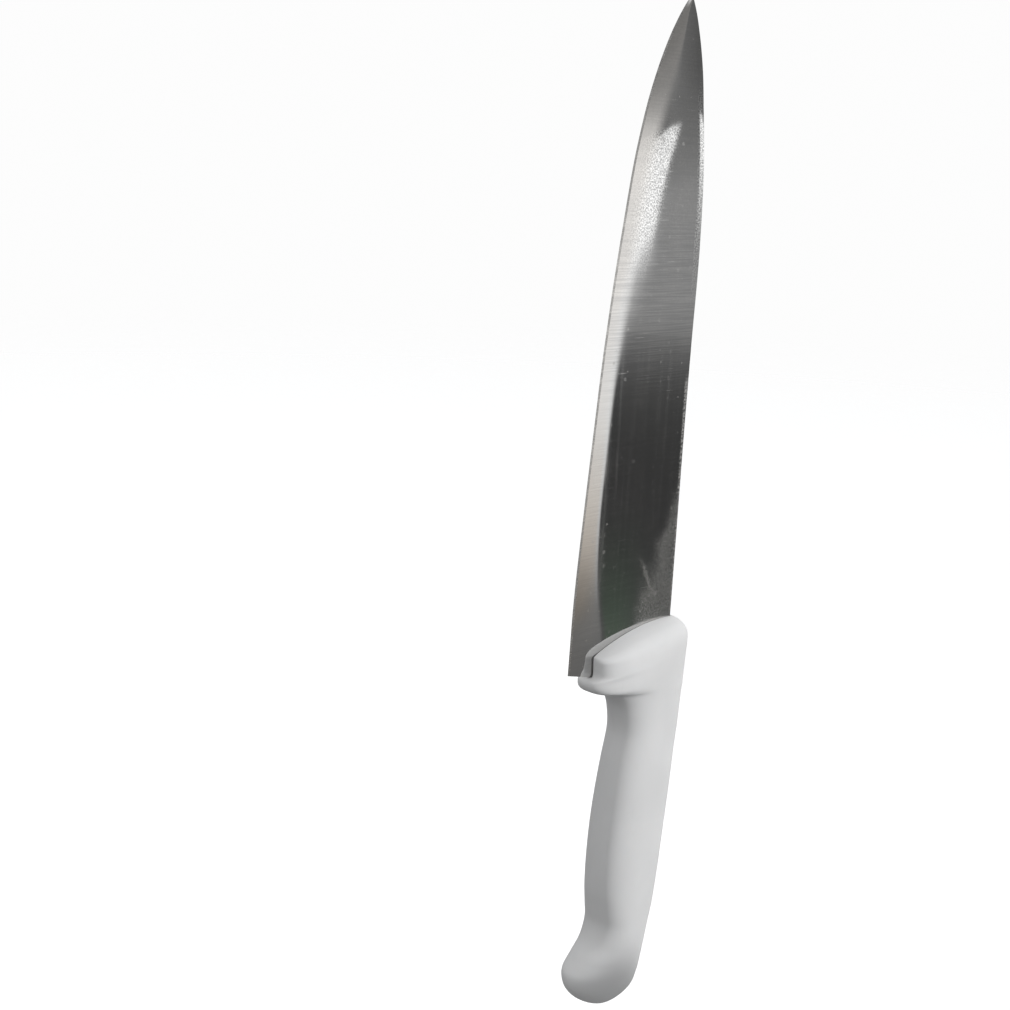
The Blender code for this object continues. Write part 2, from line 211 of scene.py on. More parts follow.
def ladder_faces(rungs):
    faces = []
    for r in range(rungs - 1):
        a, b = 4 * r, 4 * (r + 1)
        faces += [(a, a + 1, b + 1, b), (a + 2, b + 2, b + 3, a + 3), (a + 1, a + 3, b + 3, b + 1), (a, b, b + 2, a + 2)]
    end = 4 * (rungs - 1)
    faces += [(0, 2, 3, 1), (end, end + 1, end + 3, end + 2)]
    return faces


def solid(name, verts, faces, sharp=None):
    """A mesh object in the row frame from points in the knife's datum (mm)."""
    mesh = bpy.data.meshes.new(name)
    mesh.from_pydata([tuple((Vector(v) + OFFSET) * MM) for v in verts], [], faces)
    work = bmesh.new()
    work.from_mesh(mesh)
    bmesh.ops.recalc_face_normals(work, faces=work.faces)
    work.to_mesh(mesh)
    work.free()
    obj = bpy.data.objects.new(name, mesh)
    bpy.context.scene.collection.objects.link(obj)
    if sharp is not None:
        mesh.shade_smooth()
        mesh.set_sharp_from_angle(angle=math.radians(sharp))
    return obj


def carve(obj, cutters):
    """Cuts the cutters out of obj for good, then removes them."""
    for c in cutters:
        mod = obj.modifiers.new("cut", "BOOLEAN")
        mod.operation, mod.solver, mod.object = "DIFFERENCE", "EXACT", c
    done = bpy.data.meshes.new_from_object(obj.evaluated_get(bpy.context.evaluated_depsgraph_get()))
    obj.modifiers.clear()
    old = obj.data
    done.name = old.name + "_cut"
    obj.data = done
    bpy.data.meshes.remove(old)
    for c in cutters:
        bpy.data.objects.remove(c, do_unlink=True)


# ---------------------------------------------------------------------------------------
# Blade
# ---------------------------------------------------------------------------------------
def blade_columns(edge, bevel, spine, half_spine):
    """x of every column across one section, from the cutting edge to the spine."""
    relief = min(RELIEF_WIDTH, 0.25 * (spine - bevel))
    corner = min(SPINE_ROUND, 0.5 * half_spine)
    seam = bevel + SEAM_SHARE * (spine - relief - bevel)
    xs = [edge, bevel]
    xs += list(np.linspace(bevel, seam, SEAM_COLUMN)[1:])
    xs += list(np.linspace(seam, spine - relief, 56)[1:])
    xs += list(np.linspace(spine - relief, spine - corner, 11)[1:])
    return xs, corner, relief


SEAM_COLUMN = 20  # the column that runs down into the edge side of the tang
SEAM_SHARE = (HEEL_END_X - EDGE_LINE[0][0] - BEVEL) / (0.0 - RELIEF_WIDTH - EDGE_LINE[0][0] - BEVEL)


def blade_section(z_row, edge, spine, grind, bevel, z_of):
    """Front half of one section: list of (x, half thickness, z)."""
    half_spine = flank(spine, z_row)
    xs, corner, relief = blade_columns(edge, bevel, spine, half_spine)
    relief_depth = RELIEF_DEPTH * ease(z_row, 128, 178) * (1 - ease(z_row, 212, 240))
    blend = GRIND_SOFT * (1 + 1.6 * ease(z_row, 190, 225))
    hg = flank(grind, z_row)
    hb = min(GRIND_HALF, 0.8 * hg)
    row = []
    for i, x in enumerate(xs):
        z = z_of(x)
        if i == 0:
            h = EDGE_HALF
        elif i == 1:
            h = hb
        else:
            ground = hb + (hg - hb) * (x - bevel) / (grind - bevel)
            k = min(blend, 0.35 * hg)
            h = float(soft_min(np.array(flank(x, z)), np.array(ground), k))
            t = max(0.0, (x - (spine - relief)) / relief)
            h -= relief_depth * t * t
        row.append((x, h, z))
    x0, h0, _ = row[-1]
    for a in (0.2, 0.4, 0.6, 0.8, 1.0):
        ang = a * math.pi / 2
        x = x0 + corner * math.sin(ang)
        row.append((x, h0 - corner * (1 - math.cos(ang)), z_of(x)))
    return row


def blade_mesh():
    tip_z = EDGE_LINE[-1][1]
    heel_x = EDGE_LINE[0][0]
    share = np.linspace(0, 1, STATIONS) ** 0.9
    heights = [0.0] + [float(v) for v in (1.0 + (tip_z - 2.0) * share)]
    rows = []
    for z in heights:
        edge, spine = along(EDGE_LINE, z), along(SPINE_LINE, z)
        grind = edge + along(GRIND_WIDTH, z)
        grind = min(grind, edge + 0.6 * (spine - edge))
        bevel = edge + min(BEVEL, 0.3 * (grind - edge))
        lean = float(1 - ease(z, 0.0, 16.0))

        def z_of(x, z=z, lean=lean):
            drop = HEEL_SLOPE * (min(x, HEEL_END_X) - heel_x)
            if x > HEEL_END_X:
                drop += (-4.0 + 3.4) * (x - HEEL_END_X) / (0.0 - HEEL_END_X)
            return z + lean * drop

        rows.append(blade_section(z, edge, spine, grind, bevel, z_of))
    cols = len(rows[0])
    verts = []
    for row in rows:
        verts += [(x, -h, z) for x, h, z in row]
        verts += [(x, h, z) for x, h, z in row]
    faces, bevel_faces = [], set()
    per = 2 * cols

    def quad(a, b, c, d, bevel_face=False):
        if bevel_face:
            bevel_faces.add(len(faces))
        faces.append((a, b, c, d))

    for r in range(len(rows) - 1):
        lo, hi = r * per, (r + 1) * per
        for j in range(cols - 1):
            quad(lo + j, lo + j + 1, hi + j + 1, hi + j, j == 0)
            quad(lo + cols + j + 1, lo + cols + j, hi + cols + j, hi + cols + j + 1, j == 0)
        quad(lo + cols - 1, lo + per - 1, hi + per - 1, hi + cols - 1)
        quad(lo + cols, lo, hi, hi + cols, True)
    # point
    verts.append((EDGE_LINE[-1][0], 0.0, tip_z))
    point = len(verts) - 1
    top = (len(rows) - 1) * per
    loop = [top + j for j in range(cols)] + [top + cols + j for j in reversed(range(cols))]
    for a, b in zip(loop, loop[1:] + loop[:1]):
        faces.append((a, b, point))
    # heel underside
    for j in range(SEAM_COLUMN):
        quad(j, cols + j, cols + j + 1, j + 1)
    # tang
    heel = rows[0][SEAM_COLUMN:]
    frac = [(p[0] - heel[0][0]) / (heel[-1][0] - heel[0][0]) for p in heel]
    count = len(heel)
    previous = list(range(SEAM_COLUMN, cols)) + [cols + j for j in range(SEAM_COLUMN, cols)]
    steps = through(TANG, 41)[1][1:]
    for xl, zl, xr, zr in steps:
        base = len(verts)
        line = []
        corner = SPINE_ROUND
        for i, f in enumerate(frac):
            x, z = xl + f * (xr - xl), zl + f * (zr - zl)
            h = flank(x, z)
            k = i - (count - 6)
            if k > 0:
                h -= corner * (1 - math.cos(k / 5 * math.pi / 2))
            line.append((x, h, z))
        verts += [(x, -h, z) for x, h, z in line] + [(x, h, z) for x, h, z in line]
        now = list(range(base, base + 2 * count))
        for j in range(count - 1):
            quad(now[j], now[j + 1], previous[j + 1], previous[j])
            quad(now[count + j + 1], now[count + j], previous[count + j], previous[count + j + 1])
        quad(now[count - 1], now[2 * count - 1], previous[2 * count - 1], previous[count - 1])
        quad(now[count], now[0], previous[0], previous[count])
        previous = now
    for j in range(count - 1):
        quad(previous[j], previous[count + j], previous[count + j + 1], previous[j + 1])
    sharp = set()
    for r in range(len(rows) - 1):
        for base in (0, cols):
            for j in (0, 1):
                sharp.add(tuple(sorted((r * per + base + j, (r + 1) * per + base + j))))
    return verts, faces, bevel_faces, sharp


def pins(radius, half_length, sides=40):
    verts, faces = [], []
    for cx, cz in TANG_HOLES:
        base = len(verts)
        for y in (-half_length, half_length):
            for j in range(sides):
                a = 2 * math.pi * j / sides
                verts.append((cx + radius * math.cos(a), y, cz + radius * math.sin(a)))
        for j in range(sides):
            k = (j + 1) % sides
            faces.append((base + j, base + k, base + sides + k, base + sides + j))
        faces.append(tuple(base + j for j in range(sides)))
        faces.append(tuple(base + sides + j for j in reversed(range(sides))))
    return verts, faces


def make_blade(steel, edge_steel):
    verts, faces, bevel_faces, sharp = blade_mesh()
    blade = solid("blade_fine", verts, faces, sharp=28.0)
    mesh = blade.data
    mesh.materials.append(steel)
    mesh.materials.append(edge_steel)
    for i in bevel_faces:
        mesh.polygons[i].material_index = 1
    for e in mesh.edges:
        if tuple(sorted(e.vertices)) in sharp:
            e.use_edge_sharp = True
    holes = solid("cutter_holes", *pins(TANG_HOLE_R, 8.0))
    carve(blade, [holes])
    mesh = blade.data
    # brushing map: u runs along the blade, v across it, so that the tangent lies along the blade
    layer = mesh.uv_layers.new(name="brush")
    normals = mesh.polygons
    for poly in normals:
        side = 0.0 if poly.normal.y < 0 else 0.5
        for li in poly.loop_indices:
            co = mesh.vertices[mesh.loops[li].vertex_index].co
            layer.data[li].uv = ((co.z + 0.26) / 0.38, (co.x + 0.05) / 0.075 * 0.48 + side)
    return blade


# ---------------------------------------------------------------------------------------
# Grip
# ---------------------------------------------------------------------------------------
def slot_shape(gap):
    heel_x = EDGE_LINE[0][0]
    rungs = [(-72.0, 34.0, GAP + 0.5, 34.0), (-72.0, HEEL_SLOPE * (-72.0 - heel_x) - GAP, GAP + 0.2, 1.0)]
    edge_side = np.array([(r[0], r[1]) for r in TANG])
    spine_side = np.array([(r[2], r[3]) for r in TANG])

    def outward(line, sign):
        run = np.gradient(line, axis=0)
        side = np.column_stack([run[:, 1], -run[:, 0]]) * sign
        return line + GAP * 1.06 * side / np.linalg.norm(side, axis=1)[:, None]

    left, right = outward(edge_side, 1.0), outward(spine_side, -1.0)
    left[-1] += (0.0, -GAP)
    right[-1] += (0.0, -GAP)
    for a, b in zip(left, right):
        rungs.append((a[0], a[1], b[0], b[1]))
    verts = []
    for xl, zl, xr, zr in rungs:
        hl, hr = flank(xl, zl) + gap, flank(xr, zr) + gap
        verts += [(xl, -hl, zl), (xr, -hr, zr), (xl, hl, zl), (xr, hr, zr)]
    return verts, ladder_faces(len(rungs))


def heel_relief_shape():
    """Flared mouth of the slot beside the heel, so that the corner can be wiped clean."""
    verts = []
    for z_top, share in ((-0.15, 1.0), (None, 0.45)):
        for x, half in ((-56.0, HEEL_RELIEF + 0.7), (-42.8, 0.10)):
            z = HEEL_SLOPE * (x - EDGE_LINE[0][0]) + z_top if z_top else HEEL_RELIEF_TOP
            for side in (-1, 1):
                verts.append((x, side * (flank(x, z) + half * (share if half > 0.2 else 1.0)), z))
    faces = [(0, 1, 3, 2), (4, 6, 7, 5), (0, 2, 6, 4), (1, 5, 7, 3), (0, 4, 5, 1), (2, 3, 7, 6)]
    return verts, faces


def core_pocket(grow):
    """The core with its locking grooves, grown by the gap between it and the grip."""
    levels = [(CORE[0][2] + grow, 2.2), (CORE[0][2] - 1.8 + grow, 0.0)]
    for zc in CORE_GROOVES:
        half = GROOVE_HALF - 1.15 * grow
        levels += [(zc + half, 0.0), (zc + half - 0.6, GROOVE_DEPTH), (zc - half + 0.6, GROOVE_DEPTH), (zc - half, 0.0)]
    tops = [r[2] for r in CORE[1:-1]]
    levels += [(z, 0.0) for z in tops if all(abs(z - zc) > GROOVE_HALF + 1.5 for zc in CORE_GROOVES)]
    levels += [(CORE[-1][2], 0.0), (CORE[-1][2] - 2.2 - grow, 2.4)]
    levels.sort(reverse=True)
    left = [(r[0], r[2]) for r in CORE]
    right = [(r[1], r[2]) for r in CORE]
    thick = [(r[3], r[2]) for r in CORE]
    ex, ey = squarish_oval(CORE_POINTS, 2.4, 2.4)
    verts = []
    for z, inset in levels:
        zz = min(max(z, CORE[-1][2]), CORE[0][2])
        xl = along(left, zz) + inset - grow
        xr = along(right, zz) - inset + grow
        half = along(thick, zz) - inset + grow
        verts += [((xl + xr) / 2 + x * (xr - xl) / 2, half * y, z) for x, y in zip(ex, ey)]
    return verts, loft_faces(len(levels), CORE_POINTS)


def make_grip(plastic):
    t, rows = through(GRIP, RINGS)
    verts = []
    for at, (xl, zl, xr, zr, half, sq_edge, sq_spine) in zip(t, rows):
        ex, ey = squarish_oval(RING_POINTS, sq_edge, sq_spine)
        mid = np.array([(xl + xr) / 2, (zl + zr) / 2])
        arm = np.array([(xr - xl) / 2, (zr - zl) / 2])
        up = np.array([-arm[1], arm[0]]) / np.linalg.norm(arm)
        crown = NOSE_CROWN * max(0.0, 1 - at / 6.0) * (1 - ex**2)
        xz = mid + ex[:, None] * arm + crown[:, None] * up
        verts += [(x, half * y, z) for (x, z), y in zip(xz, ey)]
    grip = solid("grip_fine", verts, loft_faces(RINGS, RING_POINTS), sharp=50.0)
    grip.data.materials.append(plastic)
    pocket = solid("cutter_pocket", *core_pocket(GAP))
    slot = solid("cutter_slot", *slot_shape(SLOT_GAP))
    relief = solid("cutter_relief", *heel_relief_shape())
    carve(grip, [pocket, slot, relief])
    grip.data.shade_smooth()
    grip.data.set_sharp_from_angle(angle=math.radians(50))
    return grip


# ---------------------------------------------------------------------------------------
# Node helper
# ---------------------------------------------------------------------------------------
class Graph:
    """Small wrapper that keeps node trees readable."""

    def __init__(self, tree):
        self.tree = tree

    def add(self, kind, inputs=None, **props):
        node = self.tree.nodes.new(kind)
        for key, value in props.items():
            setattr(node, key, value)
        for key, value in (inputs or {}).items():
            self.put(node.inputs[key], value)
        return node

    def put(self, socket, value):
        if isinstance(value, bpy.types.NodeSocket):
            self.tree.links.new(value, socket)
        else:
            socket.default_value = value

    def math(self, op, a, b=0.0, c=None, clamp=False):
        node = self.tree.nodes.new("ShaderNodeMath")
        node.operation, node.use_clamp = op, clamp
        self.put(node.inputs[0], a)
        self.put(node.inputs[1], b)
        if c is not None:
            self.put(node.inputs[2], c)
        return node.outputs[0]

    def remap(self, value, a, b, c=0.0, d=1.0, smooth=True):
        node = self.tree.nodes.new("ShaderNodeMapRange")
        node.interpolation_type = "SMOOTHSTEP" if smooth else "LINEAR"
        for name, v in (("Value", value), ("From Min", a), ("From Max", b), ("To Min", c), ("To Max", d)):
            self.put(node.inputs[name], v)
        return node.outputs["Result"]

    def mix(self, factor, a, b):
        node = self.tree.nodes.new("ShaderNodeMix")
        node.data_type = "RGBA"
        self.put(node.inputs[0], factor)
        for socket, v in ((node.inputs[6], a), (node.inputs[7], b)):
            self.put(socket, v if isinstance(v, bpy.types.NodeSocket) else (*v, 1.0))
        return node.outputs[2]

    def blend(self, factor, a, b):
        node = self.tree.nodes.new("ShaderNodeMix")
        node.data_type = "FLOAT"
        self.put(node.inputs[0], factor)
        self.put(node.inputs[2], a)
        self.put(node.inputs[3], b)
        return node.outputs[0]

    def stretch(self, vector, scale, turn=(0.0, 0.0, 0.0)):
        node = self.add("ShaderNodeMapping", {"Vector": vector, "Scale": scale, "Rotation": turn})
        return node.outputs[0]

    def noise(self, vector, scale=1.0, detail=2.0, rough=0.5, distort=0.0):
        node = self.add("ShaderNodeTexNoise", {"Vector": vector, "Scale": scale, "Detail": detail,
                                               "Roughness": rough, "Distortion": distort})
        return node.outputs[0]


def new_material(name):
    mat = bpy.data.materials.new(name)
    mat.use_nodes = True
    return mat, Graph(mat.node_tree), mat.node_tree.nodes["Principled BSDF"]


# ---------------------------------------------------------------------------------------
# Materials
# ---------------------------------------------------------------------------------------
def steel_material():
    """Fine cross-brushed stainless sheet with handling marks and dried water spots, plus a painted highlight along the
    spine and painted reflection speckles on the forward flank.
    """
    mat, g, bsdf = new_material("brushed_stainless")
    here = g.add("ShaderNodeTexCoord").outputs["Object"]
    split = g.add("ShaderNodeSeparateXYZ", {"Vector": here})
    z = split.outputs["Z"]

    fine = g.noise(g.stretch(here, (70.0, 70.0, 4200.0)), detail=2.0, rough=0.6)
    middle = g.noise(g.stretch(here, (28.0, 28.0, 1500.0)), detail=3.0, rough=0.6)
    broad = g.noise(g.stretch(here, (9.0, 9.0, 120.0)), detail=2.0, rough=0.5)
    peel = g.noise(here, scale=950.0, detail=2.0, rough=0.6)
    cloud = g.noise(here, scale=38.0, detail=4.0, rough=0.6, distort=0.6)

    # dried water spots: small discs with a brighter rim, gathered in some places only
    flat = g.add("ShaderNodeCombineXYZ", {"X": split.outputs["X"], "Y": z, "Z": 0.0}).outputs[0]
    cells = g.add("ShaderNodeTexVoronoi", {"Vector": flat, "Scale": 150.0, "Randomness": 1.0}, voronoi_dimensions="2D")
    pick = g.add("ShaderNodeSeparateXYZ", {"Vector": cells.outputs["Color"]})
    radius = g.remap(pick.outputs["Y"], 0.0, 1.0, 0.050, 0.150)
    gathered = g.noise(flat, scale=26.0, detail=1.0)
    chosen = g.math("GREATER_THAN", g.math("ADD", pick.outputs["X"], g.math("MULTIPLY", gathered, 1.5)), 1.42)
    ratio = g.math("DIVIDE", g.math("ADD", cells.outputs["Distance"], g.math("MULTIPLY", g.math("SUBTRACT", g.noise(flat, scale=1500.0), 0.5), 0.03)), radius)
    disc = g.math("MULTIPLY", g.remap(ratio, 0.55, 1.20, 1.0, 0.0), chosen)
    disc = g.math("MULTIPLY", disc, g.remap(pick.outputs["Y"], 0.0, 1.0, 0.8, 0.30, smooth=False))
    rim = g.math("MULTIPLY", disc, g.remap(ratio, 0.35, 0.95, g.remap(pick.outputs["Z"], 0.3, 0.7, 0.15, 0.9), 1.0))

    # fine scratches from washing, at a slant to the brush lines
    wash = g.noise(g.stretch(here, (70.0, 70.0, 1500.0), (0.0, 1.05, 0.0)), detail=1.0)
    scratch = g.remap(wash, 0.70, 0.76)

    # a wiped streak that runs from the spine down to the grip, a rubbed patch beside it, and a painted highlight along
    # the spine
    x = split.outputs["X"]
    across = g.math("ADD", g.math("MULTIPLY", g.math("SUBTRACT", x, 0.0022), 0.838), g.math("MULTIPLY", g.math("ADD", z, 0.1202), 0.545))
    down = g.math("SUBTRACT", g.math("MULTIPLY", g.math("SUBTRACT", x, 0.0022), 0.545), g.math("MULTIPLY", g.math("ADD", z, 0.1202), 0.838))
    wobble = g.noise(g.stretch(here, (60.0, 60.0, 60.0)), detail=3.0, rough=0.6)
    wander = g.math("ADD", across, g.math("MULTIPLY", g.math("SUBTRACT", wobble, 0.5), 0.004))
    streak = g.math("MULTIPLY", g.remap(g.math("ABSOLUTE", wander), 0.0, 0.0030, 1.0, 0.0),
                    g.math("MULTIPLY", g.remap(down, -0.020, -0.006), g.remap(down, 0.004, 0.020, 1.0, 0.0)))
    streak = g.math("MULTIPLY", streak, g.remap(g.noise(flat, scale=900.0, detail=2.0), 0.30, 0.60, 0.30, 0.62))
    edge_of_haze = g.math("ADD", g.math("MULTIPLY", g.math("SUBTRACT", wobble, 0.5), 0.016), g.remap(z, -0.150, -0.072, -0.014, 0.011))
    haze = g.math("MULTIPLY", g.remap(g.math("SUBTRACT", x, edge_of_haze), -0.003, 0.009), g.remap(z, -0.090, -0.064, 1.0, 0.0))
    haze = g.math("MULTIPLY", haze, g.remap(g.noise(flat, scale=1100.0, detail=3.0, rough=0.75), 0.34, 0.66, 0.36, 0.60))
    # painted highlight: a lighter, rougher band just inside the spine's rounded corner, where a bright line runs along
    # the spine
    painted_spine_highlight = g.math("MULTIPLY", g.remap(x, 0.0142, 0.0158), g.math("MULTIPLY", g.remap(z, -0.145, -0.130), g.remap(z, -0.042, -0.034, 1.0, 0.0)))
    painted_spine_highlight = g.math("MULTIPLY", painted_spine_highlight, g.remap(g.noise(g.stretch(flat, (500.0, 900.0, 1.0)), detail=2.0), 0.32, 0.64, 0.38, 0.88))
    wipes = g.remap(g.noise(g.stretch(flat, (300.0, 7.0, 1.0), (0.0, 0.0, 0.06)), detail=3.0, rough=0.55), 0.40, 0.74, 0.0, 0.14)
    wipes = g.math("MULTIPLY", wipes, g.remap(z, -0.035, -0.010, 1.0, 0.0))
    # the wiped marks and the painted spine highlight share one mask: lighter colour and more roughness
    smears_and_painted_highlight = g.math("MAXIMUM", g.math("MAXIMUM", streak, haze), g.math("MAXIMUM", painted_spine_highlight, wipes))

    forward = g.remap(z, -0.035, 0.010)  # the forward half keeps a rolled, pebbly skin
    lines = g.math("ADD", g.math("MULTIPLY", fine, 0.55), g.math("MULTIPLY", middle, 0.9))
    lines = g.math("ADD", lines, g.math("MULTIPLY", broad, 1.2))
    lines = g.math("MULTIPLY", lines, g.blend(forward, 0.30, 0.06))
    skin = g.math("MULTIPLY", peel, g.blend(forward, 0.02, 0.24))
    height = g.math("ADD", lines, skin)
    height = g.math("ADD", height, g.math("MULTIPLY", scratch, -0.10))
    height = g.math("ADD", height, g.math("MULTIPLY", disc, 0.25))
    bump = g.add("ShaderNodeBump", {"Strength": 1.0, "Distance": 1.6e-6, "Height": height})

    tone = g.mix(g.remap(cloud, 0.3, 0.7), (0.575, 0.575, 0.570), (0.635, 0.630, 0.620))
    brushed = g.math("MULTIPLY", g.remap(z, -0.050, -0.020), g.remap(z, 0.010, 0.030, 1.0, 0.0))
    tone = g.mix(g.math("MULTIPLY", g.remap(middle, 0.38, 0.62), g.blend(brushed, 0.25, 0.75)), tone, (0.46, 0.46, 0.46))
    pebbled = g.math("MULTIPLY", g.remap(peel, 0.40, 0.60), g.blend(forward, 0.05, 0.35))
    tone = g.mix(g.math("MULTIPLY", pebbled, 0.6), tone, (0.46, 0.46, 0.46))
    tone = g.mix(g.math("MULTIPLY", scratch, 0.25), tone, (0.72, 0.72, 0.71))
    tone = g.mix(g.math("MULTIPLY", rim, 0.35), tone, (0.74, 0.73, 0.71))
    # lighter where wiped, and along the painted spine highlight
    tone = g.mix(g.math("MULTIPLY", smears_and_painted_highlight, 0.5), tone, (0.76, 0.76, 0.75))

    # painted reflection: forward of the middle, a fixed patch on the flank and a thin band by the spine get bright
    # speckles in the base colour, standing in for a bright reflection broken into sparkles by the rolled skin
    limit = g.math("ADD", -0.0150, g.remap(z, -0.005, 0.062, 0.0, 0.0190, smooth=False))
    painted_reflection_speckle = g.math("MULTIPLY", g.remap(g.math("SUBTRACT", limit, x), -0.001, 0.0015), g.remap(z, -0.006, 0.026))
    inward = g.remap(g.math("SUBTRACT", x, g.remap(z, 0.0, 0.062, -0.0250, -0.0125, smooth=False)), -0.006, 0.006)
    painted_reflection_speckle = g.math("MULTIPLY", painted_reflection_speckle, g.blend(inward, 0.10, 0.9))
    crest = g.math("ADD", 0.0545, g.math("MULTIPLY", g.math("ADD", x, 0.011), 0.27))
    painted_reflection_speckle = g.math("MULTIPLY", painted_reflection_speckle, g.remap(g.math("SUBTRACT", crest, z), -0.0008, 0.0006))
    near_spine = g.math("SUBTRACT", g.remap(z, 0.030, 0.068, 0.0150, 0.0112, smooth=False), x)
    painted_reflection_speckle = g.math("MAXIMUM", painted_reflection_speckle, g.math("MULTIPLY", g.remap(near_spine, 0.0, 0.0008, 1.0, 0.0), g.remap(z, -0.020, 0.030)))
    painted_reflection_speckle = g.math("MULTIPLY", painted_reflection_speckle, g.remap(z, 0.066, 0.074, 1.0, 0.0))
    painted_speckle_grain = g.noise(flat, scale=1500.0, detail=2.0, rough=0.75)
    # painted reflection: speckles from 0.37 to 0.89 mixed into the steel's colour inside that patch
    tone = g.mix(painted_reflection_speckle, tone, g.mix(g.remap(painted_speckle_grain, 0.40, 0.60), (0.37, 0.37, 0.37), (0.89, 0.89, 0.88)))

    # polished ridges between slightly duller brush lines
    dull = g.math("MULTIPLY", g.remap(fine, 0.56, 0.74), g.remap(cloud, 0.25, 0.75, 0.3, 0.8))
    dull = g.math("MULTIPLY", dull, g.blend(forward, 0.55, 0.8))
    rough = g.blend(dull, g.remap(cloud, 0.25, 0.75, 0.028, 0.045), 0.13)
    rough = g.math("MULTIPLY", rough, g.blend(g.remap(z, 0.030, 0.048), 1.0, 0.72))
    rough = g.math("ADD", rough, g.math("MULTIPLY", rim, 0.16))
    rough = g.math("ADD", rough, g.math("MULTIPLY", smears_and_painted_highlight, 0.30))
    rough = g.math("ADD", rough, g.math("MULTIPLY", scratch, 0.05))

    along_blade = g.add("ShaderNodeTangent", direction_type="UV_MAP", uv_map="brush")
    for key, value in {
        "Base Color": tone, "Metallic": 1.0, "Roughness": rough, "Anisotropic": 0.55,
        "Tangent": along_blade.outputs[0], "Normal": bump.outputs[0],
    }.items():
        g.put(bsdf.inputs[key], value)
    return mat


def edge_material():
    """The sharpened edge: coarser stone marks running across the edge."""
    mat, g, bsdf = new_material("ground_edge")
    here = g.add("ShaderNodeTexCoord").outputs["Object"]
    marks = g.noise(g.stretch(here, (250.0, 250.0, 5200.0), (0.0, 0.25, 0.0)), detail=2.0, rough=0.6)
    wear = g.noise(here, scale=260.0, detail=3.0, rough=0.6)
    bump = g.add("ShaderNodeBump", {"Strength": 1.0, "Distance": 3.0e-6, "Height": marks})
    tone = g.mix(g.remap(marks, 0.35, 0.65), (0.36, 0.36, 0.36), (0.54, 0.54, 0.53))
    for key, value in {
        "Base Color": tone, "Metallic": 1.0, "Roughness": g.remap(wear, 0.3, 0.7, 0.20, 0.34), "Normal": bump.outputs[0],
    }.items():
        g.put(bsdf.inputs[key], value)
    return mat


def plastic_material(name, light, shade, rough_low, rough_high):
    """Moulded polypropylene: very fine tool grain, faint flow clouds, handling scuffs."""
    mat, g, bsdf = new_material(name)
    here = g.add("ShaderNodeTexCoord").outputs["Object"]
    grain = g.noise(here, scale=2600.0, detail=2.0, rough=0.6)
    ripple = g.noise(here, scale=170.0, detail=2.0, rough=0.5)
    cloud = g.noise(here, scale=24.0, detail=4.0, rough=0.6, distort=0.4)
    scuff = g.noise(g.stretch(here, (900.0, 900.0, 60.0), (0.0, 0.35, 0.2)), detail=2.0, rough=0.6)
    worn = g.remap(scuff, 0.66, 0.74)
    specks = g.add("ShaderNodeTexVoronoi", {"Vector": here, "Scale": 150.0})
    pick = g.add("ShaderNodeSeparateXYZ", {"Vector": specks.outputs["Color"]})
    dot = g.math("MULTIPLY", g.remap(specks.outputs["Distance"], 0.02, 0.045, 1.0, 0.0),
                 g.math("GREATER_THAN", pick.outputs["X"], 0.86))
    height = g.math("ADD", g.math("MULTIPLY", grain, 1.0), g.math("MULTIPLY", ripple, 2.2))
    height = g.math("ADD", height, g.math("MULTIPLY", worn, -0.9))
    bump = g.add("ShaderNodeBump", {"Strength": 0.55, "Distance": 6.0e-6, "Height": height})
    tone = g.mix(g.remap(cloud, 0.3, 0.7), shade, light)
    tone = g.mix(g.math("MULTIPLY", worn, 0.10), tone, tuple(0.8 * c for c in shade))
    tone = g.mix(g.math("MULTIPLY", dot, 0.25), tone, (0.35, 0.33, 0.30))
    rough = g.remap(cloud, 0.25, 0.75, rough_low, rough_high)
    rough = g.math("ADD", rough, g.math("MULTIPLY", worn, 0.10))
    for key, value in {
        "Base Color": tone, "Metallic": 0.0, "Roughness": rough, "IOR": 1.49, "Normal": bump.outputs[0],
        "Subsurface Weight": 0.06, "Subsurface Radius": (0.9, 0.8, 0.7), "Subsurface Scale": 0.0015,
    }.items():
        g.put(bsdf.inputs[key], value)
    return mat


# ---------------------------------------------------------------------------------------
# Build the pieces
# ---------------------------------------------------------------------------------------
steel = steel_material()
ground = edge_material()
white = plastic_material("satin_white_plastic", (0.80, 0.80, 0.80), (0.76, 0.76, 0.76), 0.36, 0.48)
inner = plastic_material("core_plastic_moulded", (0.68, 0.68, 0.66), (0.63, 0.63, 0.61), 0.45, 0.58)

blade = make_blade(steel, ground)
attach(blade, "root")
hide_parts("blade")

grip = make_grip(white)
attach(grip, "root")
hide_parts("handle_grip")

core = next(o for o in bpy.context.scene.objects if o.get("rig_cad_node") == "handle_core")
if core.material_slots:
    for s in core.material_slots:
        s.material = inner
else:
    core.data.materials.append(inner)

# ---------------------------------------------------------------------------------------
# Stage: floor, world, lights, camera
# ---------------------------------------------------------------------------------------
FLOOR_Z = -0.345
FLOOR_R = 4.0


